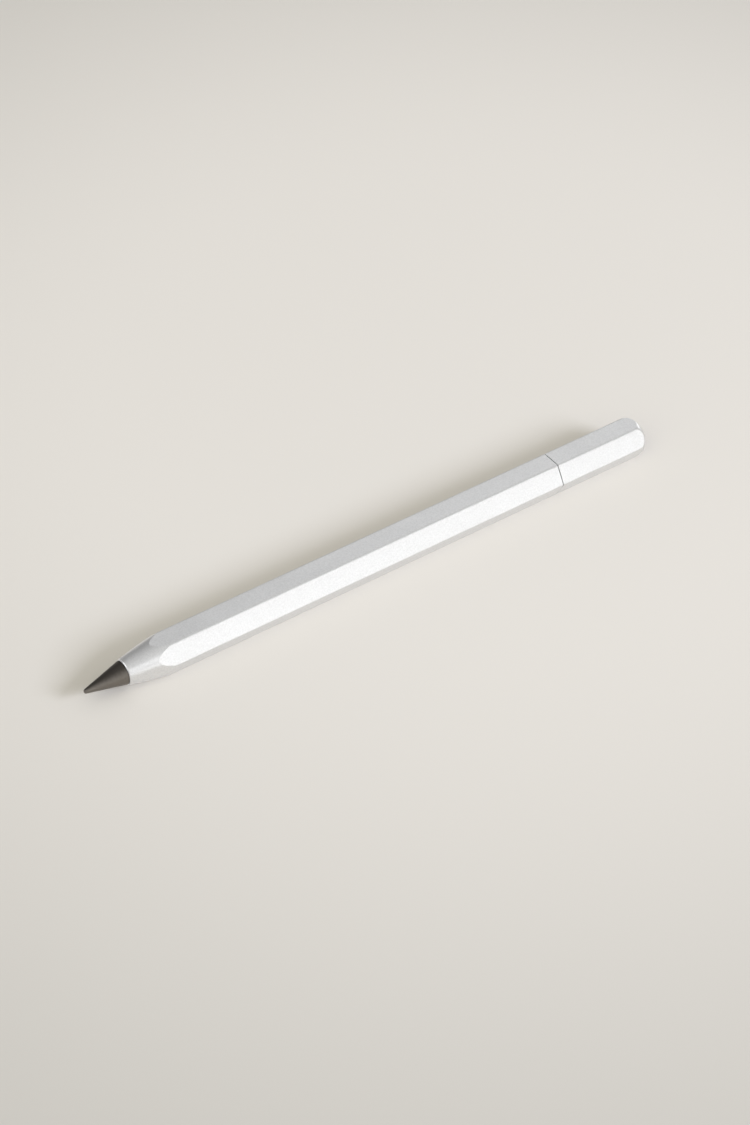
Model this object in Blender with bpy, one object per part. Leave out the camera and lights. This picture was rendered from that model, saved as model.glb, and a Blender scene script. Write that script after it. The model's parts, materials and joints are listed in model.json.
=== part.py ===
"""Hexagonal metal pencil with a graphite point in front and a twist-feed lead under its rear cap.

Metres, +Z up. The pencil lies along X on one flat, with the point at -X and the cap at +X, and the
origin is under the middle of its length. Along the pencil every place is a distance from the point.
"""

import math

import bmesh
import bpy

# Outside of the pencil
ACROSS_FLATS = 0.0086
EDGE_FILLET = 0.00055
SHAFT_LENGTH = 0.10405  # full hexagon of the barrel, behind the nose
SEAM_GAP = 0.00015  # hairline between barrel and cap

# Graphite point and the nose that carries it
TIP_LENGTH = 0.0098
TIP_BASE_RADIUS = 0.00275
TIP_POINT_RADIUS = 0.0003
TIP_SHANK_LENGTH = 0.0047
STUD_WALL = 0.00055
STUD_LENGTH = 0.0070
STUD_ROOM = 0.0010  # free depth of the threaded hole behind the stud
TIP_SEAL_COVER = 0.00025  # how far the tip's base reaches past its seal
TIP_SEAL_SECTION = 0.00045
RIM_WIDTH = 0.0002  # ring of metal that shows round the tip
RIM_CHAMFER = 0.0001
NOSE_LENGTH = 0.0105
NOSE_BULGE = 0.15  # share by which the nose is fuller than a straight cone
BULKHEAD_LENGTH = 0.0076  # solid metal between the nose and the front bore

# Cap and the bush that it is keyed to
CAP_WALL = 0.00085
CAP_END_WALL = 0.0022
CAP_END_ROUNDING = 0.0033
CAP_END_ROOM = 0.0007  # between the fully fed lead and the end of the cap's bore
BUSH_LENGTH = 0.0124  # pressed into the barrel
KEY_LENGTH = 0.00225
KEY_CLEARANCE = 0.0001
MOUTH_STEP = 0.00005  # the cap's hexagonal mouth over its round bore
NECK_LENGTH = 0.0032
NECK_STEP = 0.00035
NECK_WALL = 0.0002  # under the seal's groove
CAP_SEAL_SECTION = 0.00055
CAP_SEAL_OFFSET = 0.00125  # from the key's rear face to the middle of the seal

# Lead nose, turned by hand
GRIP_LENGTH = 0.0030
FLUTE_COUNT = 12
FLUTE_RADIUS = 0.00035
FLUTE_DEPTH = 0.0002
CONE_LENGTH = 0.0048
CONE_END_WALL = 0.0003
SOCKET_DEPTH = 0.0025
SLEEVE_STOP = 0.0024  # solid bottom of the cone in front of the lead sleeve
SLEEVE_WALL = 0.0002
SLEEVE_OUT = 0.0015
LEAD_RADIUS = 0.00045
LEAD_OUT = 0.0003
LEAD_GUIDE_LENGTH = 0.0010
THRUST_WASHER_THICKNESS = 0.0003

# Twist drive inside the barrel
FEED_OUT = 0.0070  # travel of the lead from rest to its furthest point
FEED_BACK = 0.0180  # travel from rest to the empty end, where a new lead is loaded
FEED_PITCH = 0.0060  # travel for one turn of the nose
GUIDE_WALL = 0.0006
SPIRAL_WALL = 0.0006
SPIRAL_END_RING = 0.0024
BORE_SHOULDER = 0.0004  # step of the barrel's bore that stops the spiral sleeve
PIN_RADIUS = 0.0005
PIN_SEAT = 0.0008  # depth of the pin's hole past the axis
CARRIER_LENGTH = 0.0080
ROD_RADIUS = 0.0005
ROD_SEAT = 0.0015
CLIP_LENGTH = 0.0060
CLIP_SLIT_LENGTH = 0.0035
CLIP_SLIT_WIDTH = 0.0003
CLIP_ROOM = 0.0008  # between the fully fed clip and the lead guide
PLUG_LENGTH = 0.0025
PLUG_ROOM = 0.00075
RING_THICKNESS = 0.0005
RING_GROOVE_DEPTH = 0.00025
RING_OPENING = 0.0012
WAVE_HEIGHT = 0.0007
WAVE_THICKNESS = 0.0003
WAVE_COUNT = 3

# Clearances
FACE_GAP = 0.0001  # between faces that rest on each other
FIT_GAP = 0.0001  # round pieces that are pressed or bonded in place
RUN_GAP = 0.00015  # round pieces that turn or slide

# Facets
TURNED_SEGMENTS = 24
NOSE_SEGMENTS = 72
NOSE_STEPS = 10
FILLET_STEPS = 4
ARC_STEPS = 8
SEAL_STEPS = 8
SPIRAL_STEP = math.radians(14)
SMOOTH_ANGLE = math.radians(30)
WELD = 1e-7
CUT_MARGIN = 0.0010  # how far a cutter runs past the face that it opens
TRIM_MARGIN = 0.00002  # turned outline over the hexagon's rounded edges

SIDES = 6
HALF_CORNER = math.pi / SIDES

# Radii, from the outside in
APOTHEM = ACROSS_FLATS / 2
EDGE_RADIUS = (APOTHEM - EDGE_FILLET) / math.cos(HALF_CORNER) + EDGE_FILLET
TRIM_RADIUS = EDGE_RADIUS + TRIM_MARGIN
RIM_RADIUS = TIP_BASE_RADIUS + RIM_WIDTH
TIP_SEAL_BORE = TIP_BASE_RADIUS - TIP_SEAL_COVER
STUD_RADIUS = TIP_SEAL_BORE - TIP_SEAL_SECTION - 2 * FIT_GAP
STUD_HOLE_RADIUS = STUD_RADIUS + RUN_GAP
SHANK_HOLE_RADIUS = STUD_RADIUS - STUD_WALL
SHANK_RADIUS = SHANK_HOLE_RADIUS - FIT_GAP
CAP_BORE_RADIUS = APOTHEM - CAP_WALL
MOUTH_APOTHEM = CAP_BORE_RADIUS + MOUTH_STEP
KEY_APOTHEM = CAP_BORE_RADIUS - KEY_CLEARANCE
NECK_RADIUS = KEY_APOTHEM - NECK_STEP
CAP_SEAL_RADIUS = CAP_BORE_RADIUS - FIT_GAP - CAP_SEAL_SECTION / 2
NECK_GROOVE_RADIUS = CAP_SEAL_RADIUS - CAP_SEAL_SECTION / 2 - FIT_GAP
NECK_BORE_RADIUS = NECK_GROOVE_RADIUS - NECK_WALL
GUIDE_RADIUS = NECK_BORE_RADIUS - RUN_GAP
GUIDE_BORE_RADIUS = GUIDE_RADIUS - GUIDE_WALL
GUIDE_GROOVE_RADIUS = GUIDE_RADIUS - RING_GROOVE_DEPTH
SLIDER_RADIUS = GUIDE_BORE_RADIUS - RUN_GAP
SPIRAL_BORE_RADIUS = GUIDE_RADIUS + RUN_GAP
SPIRAL_RADIUS = SPIRAL_BORE_RADIUS + SPIRAL_WALL
BARREL_BORE_RADIUS = SPIRAL_RADIUS + FIT_GAP
FRONT_BORE_RADIUS = BARREL_BORE_RADIUS - BORE_SHOULDER
WASHER_RADIUS = BARREL_BORE_RADIUS - RUN_GAP
SOCKET_RADIUS = GUIDE_RADIUS + FIT_GAP
LEAD_BORE_RADIUS = LEAD_RADIUS + FIT_GAP
LEAD_SLEEVE_RADIUS = LEAD_BORE_RADIUS + SLEEVE_WALL
SLEEVE_HOLE_RADIUS = LEAD_SLEEVE_RADIUS + FIT_GAP
CONE_END_RADIUS = SLEEVE_HOLE_RADIUS + CONE_END_WALL
ROD_HOLE_RADIUS = ROD_RADIUS + FIT_GAP
PIN_HOLE_RADIUS = PIN_RADIUS + FIT_GAP
PIN_TOP = SPIRAL_RADIUS - FIT_GAP

# Slots that the drive pin runs in
PIN_SLOT_WIDTH = 2 * (PIN_RADIUS + RUN_GAP)
SPIRAL_SLOPE = math.atan2(FEED_PITCH, 2 * math.pi * SPIRAL_BORE_RADIUS)
SPIRAL_SLOT_WIDTH = PIN_SLOT_WIDTH / math.cos(SPIRAL_SLOPE)  # measured along the pencil
SPIRAL_RUN_OUT = (PIN_RADIUS + RUN_GAP) / SPIRAL_BORE_RADIUS  # slot past the pin's last place, as an angle

# Places along the pencil, from the point to the lead nose
NOSE_RIM = TIP_LENGTH + FACE_GAP
NOSE_REAR = NOSE_RIM + NOSE_LENGTH
FRONT_BORE_START = NOSE_REAR + BULKHEAD_LENGTH
BARREL_REAR = NOSE_REAR + SHAFT_LENGTH
STUD_FRONT = NOSE_RIM + FACE_GAP
STUD_REAR = STUD_FRONT + STUD_LENGTH
TIP_SEAL_DEPTH = TIP_SEAL_SECTION + 2 * FIT_GAP
CAP_FRONT = BARREL_REAR + SEAM_GAP
KEY_FRONT = BARREL_REAR + FACE_GAP
KEY_REAR = KEY_FRONT + KEY_LENGTH
NECK_REAR = KEY_REAR + NECK_LENGTH
CAP_SEAL_PLACE = KEY_REAR + CAP_SEAL_OFFSET
THRUST_FRONT = NECK_REAR + FACE_GAP
THRUST_REAR = THRUST_FRONT + THRUST_WASHER_THICKNESS
GRIP_FRONT = THRUST_REAR + FACE_GAP
GRIP_REAR = GRIP_FRONT + GRIP_LENGTH
SOCKET_END = GRIP_FRONT + SOCKET_DEPTH
GUIDE_REAR = SOCKET_END - FACE_GAP
LEAD_GUIDE_REAR = GUIDE_REAR - FACE_GAP
LEAD_GUIDE_FRONT = LEAD_GUIDE_REAR - LEAD_GUIDE_LENGTH
LEAD_SLEEVE_FRONT = SOCKET_END + SLEEVE_STOP
CONE_REAR = GRIP_REAR + CONE_LENGTH
LEAD_SLEEVE_REAR = CONE_REAR + SLEEVE_OUT
LEAD_POINT = LEAD_SLEEVE_REAR + LEAD_OUT
CAP_BORE_END = LEAD_POINT + FEED_OUT + CAP_END_ROOM
CAP_REAR = CAP_BORE_END + CAP_END_WALL
LENGTH = CAP_REAR

# Places of the twist drive, from the bush forward
BUSH_FRONT = BARREL_REAR - BUSH_LENGTH
WAVE_REAR = BUSH_FRONT - FACE_GAP
WAVE_FRONT = WAVE_REAR - WAVE_HEIGHT
RING_REAR = WAVE_FRONT - FACE_GAP
RING_FRONT = RING_REAR - RING_THICKNESS
SPIRAL_REAR = RING_FRONT - FACE_GAP
PIN_PLACE = SPIRAL_REAR - SPIRAL_END_RING - SPIRAL_SLOT_WIDTH / 2 - FEED_OUT
SPIRAL_FRONT = PIN_PLACE - FEED_BACK - SPIRAL_SLOT_WIDTH / 2 - SPIRAL_END_RING
BORE_STEP = SPIRAL_FRONT - FACE_GAP
CARRIER_FRONT = PIN_PLACE - CARRIER_LENGTH / 2
CARRIER_REAR = PIN_PLACE + CARRIER_LENGTH / 2
PLUG_REAR = CARRIER_FRONT - FEED_BACK - PLUG_ROOM
GUIDE_FRONT = PLUG_REAR - PLUG_LENGTH
CLIP_REAR = LEAD_GUIDE_FRONT - FEED_OUT - CLIP_ROOM
CLIP_FRONT = CLIP_REAR - CLIP_LENGTH
ROD_FRONT = CARRIER_REAR - ROD_SEAT
ROD_REAR = CLIP_FRONT + ROD_SEAT
LEAD_FRONT = ROD_REAR + FACE_GAP


def make_material(name, colour, roughness, metallic):
    """Principled material from a linear colour."""
    material = bpy.data.materials.new(name)
    material.use_nodes = True
    shader = material.node_tree.nodes["Principled BSDF"]
    shader.inputs["Base Color"].default_value = (*colour, 1.0)
    shader.inputs["Roughness"].default_value = roughness
    shader.inputs["Metallic"].default_value = metallic
    material.diffuse_color = (*colour, 1.0)
    return material


def make_empty(name, parent=None):
    """Axis of a joint: an empty on the pencil's own axis, level with the point."""
    empty = bpy.data.objects.new(name, None)
    empty.empty_display_size = APOTHEM
    empty.parent = parent
    bpy.context.collection.objects.link(empty)
    return empty


def make_object(name, bm, parent, material=None):
    """Object from a bmesh, welded and with its faces pointing out."""
    bmesh.ops.remove_doubles(bm, verts=bm.verts, dist=WELD)
    bmesh.ops.recalc_face_normals(bm, faces=bm.faces)
    mesh = bpy.data.meshes.new(name)
    bm.to_mesh(mesh)
    bm.free()
    mesh.shade_smooth()
    mesh.set_sharp_from_angle(angle=SMOOTH_ANGLE)
    if material:
        mesh.materials.append(material)
    obj = bpy.data.objects.new(name, mesh)
    obj.parent = parent
    bpy.context.collection.objects.link(obj)
    return obj


def shape(obj, bm, operation="DIFFERENCE"):
    """Cuts, trims or joins an object with another shape, which stays as a hidden helper."""
    count = len(obj.modifiers) + 1
    helper = make_object(f"{obj.name}_helper_{count}", bm, obj.parent)
    helper.hide_render = True
    helper.display_type = "WIRE"
    boolean = obj.modifiers.new(f"shape_{count}", "BOOLEAN")
    boolean.operation = operation
    boolean.solver = "EXACT"
    boolean.object = helper


def turned(profile, segments=TURNED_SEGMENTS):
    """Solid turned round the pencil's axis: (place, radius) points from axis to axis, or round a ring."""
    bm = bmesh.new()
    points = [bm.verts.new((place, 0, radius)) for place, radius in profile]
    edges = [bm.edges.new(pair) for pair in zip(points, points[1:])]
    if profile[0][1] > 0:
        edges.append(bm.edges.new((points[-1], points[0])))
    bmesh.ops.spin(
        bm,
        geom=points + edges,
        cent=(0, 0, 0),
        axis=(1, 0, 0),
        angle=2 * math.pi,
        steps=segments,
        use_merge=True,
    )
    return bm


def tube(front, rear, inner, outer):
    """Turned ring between two places."""
    return turned([(front, inner), (front, outer), (rear, outer), (rear, inner)])


def rod(front, rear, radius):
    """Turned bar between two places."""
    return turned([(front, 0), (front, radius), (rear, radius), (rear, 0)])


def extruded(outline, start, run):
    """Prism: an outline of 3D points moved to its start and pulled along a run."""
    bm = bmesh.new()
    face = bm.faces.new([bm.verts.new(point) for point in outline])
    bmesh.ops.translate(bm, verts=bm.verts, vec=start)
    pulled = bmesh.ops.extrude_face_region(bm, geom=[face], use_keep_orig=True)["geom"]
    moved = [item for item in pulled if isinstance(item, bmesh.types.BMVert)]
    bmesh.ops.translate(bm, verts=moved, vec=run)
    return bm


def hexagon(front, rear, apothem, fillet=0.0):
    """Hexagonal bar that stands on a flat, with its long edges rounded by the fillet."""
    centre = (apothem - fillet) / math.cos(HALF_CORNER)
    steps = FILLET_STEPS if fillet else 0
    outline = []
    for corner in range(SIDES):
        middle = 2 * HALF_CORNER * corner
        for step in range(steps + 1):
            share = step / steps - 0.5 if steps else 0
            angle = middle + 2 * HALF_CORNER * share
            across = centre * math.cos(middle) + fillet * math.cos(angle)
            up = centre * math.sin(middle) + fillet * math.sin(angle)
            outline.append((0, across, up))
    return extruded(outline, (front, 0, 0), (rear - front, 0, 0))


def box(low, high):
    """Rectangular block between two corners."""
    size = [top - bottom for bottom, top in zip(low, high)]
    corners = ((0, 0), (size[1], 0), (size[1], size[2]), (0, size[2]))
    outline = [(0, across, up) for across, up in corners]
    return extruded(outline, low, (size[0], 0, 0))


def arc(place, radius, size, first, last, steps=ARC_STEPS):
    """Points of an arc in a turned profile. Its angles run from +X towards the outside."""
    angles = [first + (last - first) * step / steps for step in range(steps + 1)]
    return [(place + size * math.cos(a), radius + size * math.sin(a)) for a in angles]


def seal_ring(place, radius, section):
    """O-ring: a round section turned round the axis."""
    return turned(arc(place, radius, section / 2, 0, 2 * math.pi, SEAL_STEPS)[:-1])


def make_tip(parent, material):
    """Graphite cone with a rounded point, and the shank behind it."""
    reach = TIP_LENGTH - TIP_POINT_RADIUS
    slope = math.atan2(TIP_BASE_RADIUS, reach)
    slope -= math.asin(TIP_POINT_RADIUS / math.hypot(TIP_BASE_RADIUS, reach))
    profile = arc(TIP_POINT_RADIUS, 0, TIP_POINT_RADIUS, math.pi, math.pi / 2 + slope)
    profile[0] = (0, 0)
    profile.append((TIP_LENGTH, TIP_BASE_RADIUS))
    profile.append((TIP_LENGTH, SHANK_RADIUS))
    profile.append((TIP_LENGTH + TIP_SHANK_LENGTH, SHANK_RADIUS))
    profile.append((TIP_LENGTH + TIP_SHANK_LENGTH, 0))
    return make_object("graphite_tip", turned(profile, NOSE_SEGMENTS // 2), parent, material)


def make_tip_stud(parent, material):
    """Cup that the shank is bonded into. Its plain outside stands for the screw thread."""
    hole_end = TIP_LENGTH + TIP_SHANK_LENGTH + FACE_GAP
    profile = [
        (hole_end, 0),
        (hole_end, SHANK_HOLE_RADIUS),
        (STUD_FRONT, SHANK_HOLE_RADIUS),
        (STUD_FRONT, STUD_RADIUS),
        (STUD_REAR, STUD_RADIUS),
        (STUD_REAR, 0),
    ]
    return make_object("tip_stud", turned(profile), parent, material)


def make_tip_seal(parent, material):
    """O-ring between the stud and the counterbore in the nose."""
    place = NOSE_RIM + TIP_SEAL_DEPTH / 2
    radius = (STUD_RADIUS + TIP_SEAL_BORE) / 2
    return make_object("tip_o_ring", seal_ring(place, radius, TIP_SEAL_SECTION), parent, material)


def nose_outline():
    """Turned outline of the barrel: a fuller cone up to the edges of the hexagon."""
    start = NOSE_RIM + RIM_CHAMFER
    profile = [(NOSE_RIM, 0), (NOSE_RIM, RIM_RADIUS - RIM_CHAMFER)]
    for step in range(NOSE_STEPS + 1):
        share = step / NOSE_STEPS
        fuller = share + NOSE_BULGE * share * (1 - share)
        place = start + (NOSE_REAR - start) * share
        profile.append((place, RIM_RADIUS + (TRIM_RADIUS - RIM_RADIUS) * fuller))
    end = BARREL_REAR + CUT_MARGIN
    return profile + [(end, TRIM_RADIUS), (end, 0)]


def make_barrel(parent, material):
    """Hexagonal bar with its nose turned to a cone, bored from both ends."""
    bar = hexagon(NOSE_RIM - CUT_MARGIN, BARREL_REAR, APOTHEM, EDGE_FILLET)
    barrel = make_object("barrel", bar, parent, material)
    shape(barrel, turned(nose_outline(), NOSE_SEGMENTS), "INTERSECT")
    seal_end = NOSE_RIM + TIP_SEAL_DEPTH
    hole_end = STUD_REAR + STUD_ROOM
    tip_hole = [
        (NOSE_RIM - CUT_MARGIN, 0),
        (NOSE_RIM - CUT_MARGIN, TIP_SEAL_BORE),
        (seal_end, TIP_SEAL_BORE),
        (seal_end, STUD_HOLE_RADIUS),
        (hole_end, STUD_HOLE_RADIUS),
        (hole_end, 0),
    ]
    shape(barrel, turned(tip_hole))
    rear_bore = [
        (FRONT_BORE_START, 0),
        (FRONT_BORE_START, FRONT_BORE_RADIUS),
        (BORE_STEP, FRONT_BORE_RADIUS),
        (BORE_STEP, BARREL_BORE_RADIUS),
        (BARREL_REAR + CUT_MARGIN, BARREL_BORE_RADIUS),
        (BARREL_REAR + CUT_MARGIN, 0),
    ]
    shape(barrel, turned(rear_bore))
    return barrel


def make_rear_bush(parent, material):
    """Bush pressed into the barrel, with the cap's hexagonal key and its grooved neck."""
    groove_front = CAP_SEAL_PLACE - CAP_SEAL_SECTION / 2 - FIT_GAP
    groove_rear = CAP_SEAL_PLACE + CAP_SEAL_SECTION / 2 + FIT_GAP
    bush_radius = BARREL_BORE_RADIUS - FIT_GAP
    key_middle = (KEY_FRONT + KEY_REAR) / 2
    profile = [
        (BUSH_FRONT, 0),
        (BUSH_FRONT, bush_radius),
        (key_middle, bush_radius),
        (key_middle, NECK_RADIUS),
        (groove_front, NECK_RADIUS),
        (groove_front, NECK_GROOVE_RADIUS),
        (groove_rear, NECK_GROOVE_RADIUS),
        (groove_rear, NECK_RADIUS),
        (NECK_REAR, NECK_RADIUS),
        (NECK_REAR, 0),
    ]
    bush = make_object("rear_bush", turned(profile), parent, material)
    shape(bush, hexagon(KEY_FRONT, KEY_REAR, KEY_APOTHEM), "UNION")
    shape(bush, rod(BUSH_FRONT - CUT_MARGIN, NECK_REAR + CUT_MARGIN, NECK_BORE_RADIUS))
    return bush


def make_cap_seal(parent, material):
    """O-ring in the neck's groove, which holds the cap on."""
    ring = seal_ring(CAP_SEAL_PLACE, CAP_SEAL_RADIUS, CAP_SEAL_SECTION)
    return make_object("cap_o_ring", ring, parent, material)


def make_rear_cap(parent, material):
    """Hexagonal cap with a rounded end, a round bore and a hexagonal mouth for the key."""
    bar = hexagon(CAP_FRONT, CAP_REAR + CUT_MARGIN, APOTHEM, EDGE_FILLET)
    cap = make_object("rear_cap", bar, parent, material)
    rounding = min(CAP_END_ROUNDING, TRIM_RADIUS)
    start = CAP_FRONT - CUT_MARGIN
    profile = [(start, 0), (start, TRIM_RADIUS)]
    profile += arc(CAP_REAR - rounding, TRIM_RADIUS - rounding, rounding, math.pi / 2, 0)
    profile.append((CAP_REAR, 0))
    shape(cap, turned(profile, NOSE_SEGMENTS), "INTERSECT")
    shape(cap, rod(start, CAP_BORE_END, CAP_BORE_RADIUS))
    shape(cap, hexagon(start, KEY_REAR + FIT_GAP, MOUTH_APOTHEM))
    return cap


def make_thrust_washer(parent, material):
    """Plain washer between the bush and the lead nose."""
    ring = tube(THRUST_FRONT, THRUST_REAR, NECK_BORE_RADIUS, NECK_RADIUS)
    return make_object("thrust_washer", ring, parent, material)


def make_lead_nose(parent, material):
    """Cone with a fluted grip, a socket for the guide tube and a stepped passage for the sleeve."""
    sleeve_stop = LEAD_SLEEVE_FRONT - FACE_GAP
    profile = [
        (GRIP_FRONT, SOCKET_RADIUS),
        (GRIP_FRONT, NECK_RADIUS),
        (GRIP_REAR, NECK_RADIUS),
        (CONE_REAR, CONE_END_RADIUS),
        (CONE_REAR, SLEEVE_HOLE_RADIUS),
        (sleeve_stop, SLEEVE_HOLE_RADIUS),
        (sleeve_stop, LEAD_BORE_RADIUS),
        (SOCKET_END, LEAD_BORE_RADIUS),
        (SOCKET_END, SOCKET_RADIUS),
    ]
    nose = make_object("lead_nose", turned(profile), parent, material)
    flutes = bmesh.new()
    offset = NECK_RADIUS + FLUTE_RADIUS - FLUTE_DEPTH
    run = GRIP_LENGTH + 2 * CUT_MARGIN
    for flute in range(FLUTE_COUNT):
        angle = 2 * math.pi * (flute + 0.5) / FLUTE_COUNT
        made = bmesh.ops.create_cone(
            flutes,
            cap_ends=True,
            segments=SEAL_STEPS,
            radius1=FLUTE_RADIUS,
            radius2=FLUTE_RADIUS,
            depth=run,
        )
        for vert in made["verts"]:
            along = GRIP_FRONT - CUT_MARGIN + run / 2 + vert.co.z
            across = offset * math.cos(angle) + vert.co.x
            vert.co = (along, across, offset * math.sin(angle) + vert.co.y)
    shape(nose, flutes)
    return nose


def make_lead_sleeve(parent, material):
    """Thin tube that the lead runs out of."""
    ring = tube(LEAD_SLEEVE_FRONT, LEAD_SLEEVE_REAR, LEAD_BORE_RADIUS, LEAD_SLEEVE_RADIUS)
    return make_object("lead_sleeve", ring, parent, material)


def make_lead_guide(parent, material):
    """Ring at the end of the guide tube that keeps the lead in line."""
    ring = tube(LEAD_GUIDE_FRONT, LEAD_GUIDE_REAR, LEAD_BORE_RADIUS, GUIDE_BORE_RADIUS - FIT_GAP)
    return make_object("lead_guide", ring, parent, material)


def make_guide_tube(parent, material):
    """Tube with the straight slot that turns the pin, and a groove for the retaining ring."""
    profile = [
        (GUIDE_FRONT, GUIDE_BORE_RADIUS),
        (GUIDE_FRONT, GUIDE_RADIUS),
        (RING_FRONT - FACE_GAP, GUIDE_RADIUS),
        (RING_FRONT - FACE_GAP, GUIDE_GROOVE_RADIUS),
        (RING_REAR + FACE_GAP, GUIDE_GROOVE_RADIUS),
        (RING_REAR + FACE_GAP, GUIDE_RADIUS),
        (GUIDE_REAR, GUIDE_RADIUS),
        (GUIDE_REAR, GUIDE_BORE_RADIUS),
    ]
    guide = make_object("guide_tube", turned(profile), parent, material)
    half = PIN_SLOT_WIDTH / 2
    front = PIN_PLACE - FEED_BACK
    rear = PIN_PLACE + FEED_OUT
    ends = arc(rear, 0, half, -math.pi / 2, math.pi / 2)
    ends += arc(front, 0, half, math.pi / 2, 3 * math.pi / 2)
    outline = [(place, across, 0) for place, across in ends]
    shape(guide, extruded(outline, (0, 0, 0), (0, 0, GUIDE_RADIUS + CUT_MARGIN)))
    return guide


def make_spiral_sleeve(parent, material):
    """Sleeve fixed in the barrel, with the right-handed spiral slot that drives the pin."""
    ring = tube(SPIRAL_FRONT, SPIRAL_REAR, SPIRAL_BORE_RADIUS, SPIRAL_RADIUS)
    sleeve = make_object("spiral_sleeve", ring, parent, material)
    first = -2 * math.pi * FEED_BACK / FEED_PITCH - SPIRAL_RUN_OUT
    last = 2 * math.pi * FEED_OUT / FEED_PITCH + SPIRAL_RUN_OUT
    steps = math.ceil((last - first) / SPIRAL_STEP)
    half = SPIRAL_SLOT_WIDTH / 2
    inner = SPIRAL_BORE_RADIUS - SPIRAL_WALL / 2
    outer = SPIRAL_RADIUS + SPIRAL_WALL / 2
    slot = bmesh.new()
    section = []
    for step in range(steps + 1):
        angle = first + (last - first) * step / steps
        middle = PIN_PLACE + FEED_PITCH * angle / (2 * math.pi)
        before = section
        section = []
        for side, radius in ((-half, inner), (-half, outer), (half, outer), (half, inner)):
            across = -radius * math.sin(angle)
            section.append(slot.verts.new((middle + side, across, radius * math.cos(angle))))
        if step in (0, steps):
            slot.faces.new(section)
        for near, far in zip(before, before[1:] + before[:1]):
            pair = section[before.index(near)], section[before.index(far)]
            slot.faces.new((near, far, pair[1], pair[0]))
    shape(sleeve, slot)
    return sleeve


def make_retaining_ring(parent, material):
    """Open ring that snaps into the guide tube's groove."""
    ring = tube(RING_FRONT, RING_REAR, GUIDE_GROOVE_RADIUS + FIT_GAP, WASHER_RADIUS)
    clip = make_object("retaining_ring", ring, parent, material)
    low = (RING_FRONT - CUT_MARGIN, -RING_OPENING / 2, 0)
    high = (RING_REAR + CUT_MARGIN, RING_OPENING / 2, WASHER_RADIUS + CUT_MARGIN)
    shape(clip, box(low, high))
    return clip


def make_wave_washer(parent, material):
    """Sprung washer, bent into waves round the guide tube."""
    lift = (WAVE_HEIGHT - WAVE_THICKNESS) / 2
    middle = (WAVE_FRONT + WAVE_REAR) / 2
    bm = tube(
        middle - WAVE_THICKNESS / 2,
        middle + WAVE_THICKNESS / 2,
        SPIRAL_BORE_RADIUS,
        WASHER_RADIUS,
    )
    for vert in bm.verts:
        vert.co.x += lift * math.sin(WAVE_COUNT * math.atan2(vert.co.z, vert.co.y))
    return make_object("wave_washer", bm, parent, material)


def make_tail_plug(parent, material):
    """Plug in the front end of the guide tube."""
    plug = rod(GUIDE_FRONT, PLUG_REAR, GUIDE_BORE_RADIUS - FIT_GAP)
    return make_object("tail_plug", plug, parent, material)


def make_carrier(parent, material):
    """Slider in the guide tube, drilled for the cross pin and the push rod."""
    carrier = make_object(
        "carrier", rod(CARRIER_FRONT, CARRIER_REAR, SLIDER_RADIUS), parent, material
    )
    shape(carrier, rod(ROD_FRONT - FACE_GAP, CARRIER_REAR + CUT_MARGIN, ROD_HOLE_RADIUS))
    hole = pin_bar(PIN_HOLE_RADIUS, -PIN_SEAT - FACE_GAP, SLIDER_RADIUS + CUT_MARGIN)
    shape(carrier, hole)
    return carrier


def pin_bar(radius, bottom, top):
    """Round bar across the pencil at the drive pin's place."""
    circle = arc(PIN_PLACE, 0, radius, 0, 2 * math.pi, 2 * SEAL_STEPS)[:-1]
    outline = [(place, across, 0) for place, across in circle]
    return extruded(outline, (0, 0, bottom), (0, 0, top - bottom))


def make_drive_pin(parent, material):
    """Cross pin that runs in the straight and the spiral slot together."""
    return make_object("drive_pin", pin_bar(PIN_RADIUS, -PIN_SEAT, PIN_TOP), parent, material)


def make_push_rod(parent, material):
    """Rod from the carrier to the lead clip."""
    return make_object("push_rod", rod(ROD_FRONT, ROD_REAR, ROD_RADIUS), parent, material)


def make_lead_clip(parent, material):
    """Collet with a socket for the push rod in front and slit jaws for the lead behind."""
    profile = [
        (CLIP_FRONT, ROD_HOLE_RADIUS),
        (CLIP_FRONT, SLIDER_RADIUS),
        (CLIP_REAR, SLIDER_RADIUS),
        (CLIP_REAR, LEAD_BORE_RADIUS),
        (LEAD_FRONT, LEAD_BORE_RADIUS),
        (LEAD_FRONT, ROD_HOLE_RADIUS),
    ]
    clip = make_object("lead_clip", turned(profile), parent, material)
    half = CLIP_SLIT_WIDTH / 2
    reach = SLIDER_RADIUS + CUT_MARGIN
    slit_front = CLIP_REAR - CLIP_SLIT_LENGTH
    slit_rear = CLIP_REAR + CUT_MARGIN
    shape(clip, box((slit_front, -half, -reach), (slit_rear, half, reach)))
    shape(clip, box((slit_front, -reach, -half), (slit_rear, reach, half)))
    return clip


def make_lead(parent, material):
    """The lead, from the clip to just out of its sleeve."""
    return make_object("lead", rod(LEAD_FRONT, LEAD_POINT, LEAD_RADIUS), parent, material)


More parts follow.
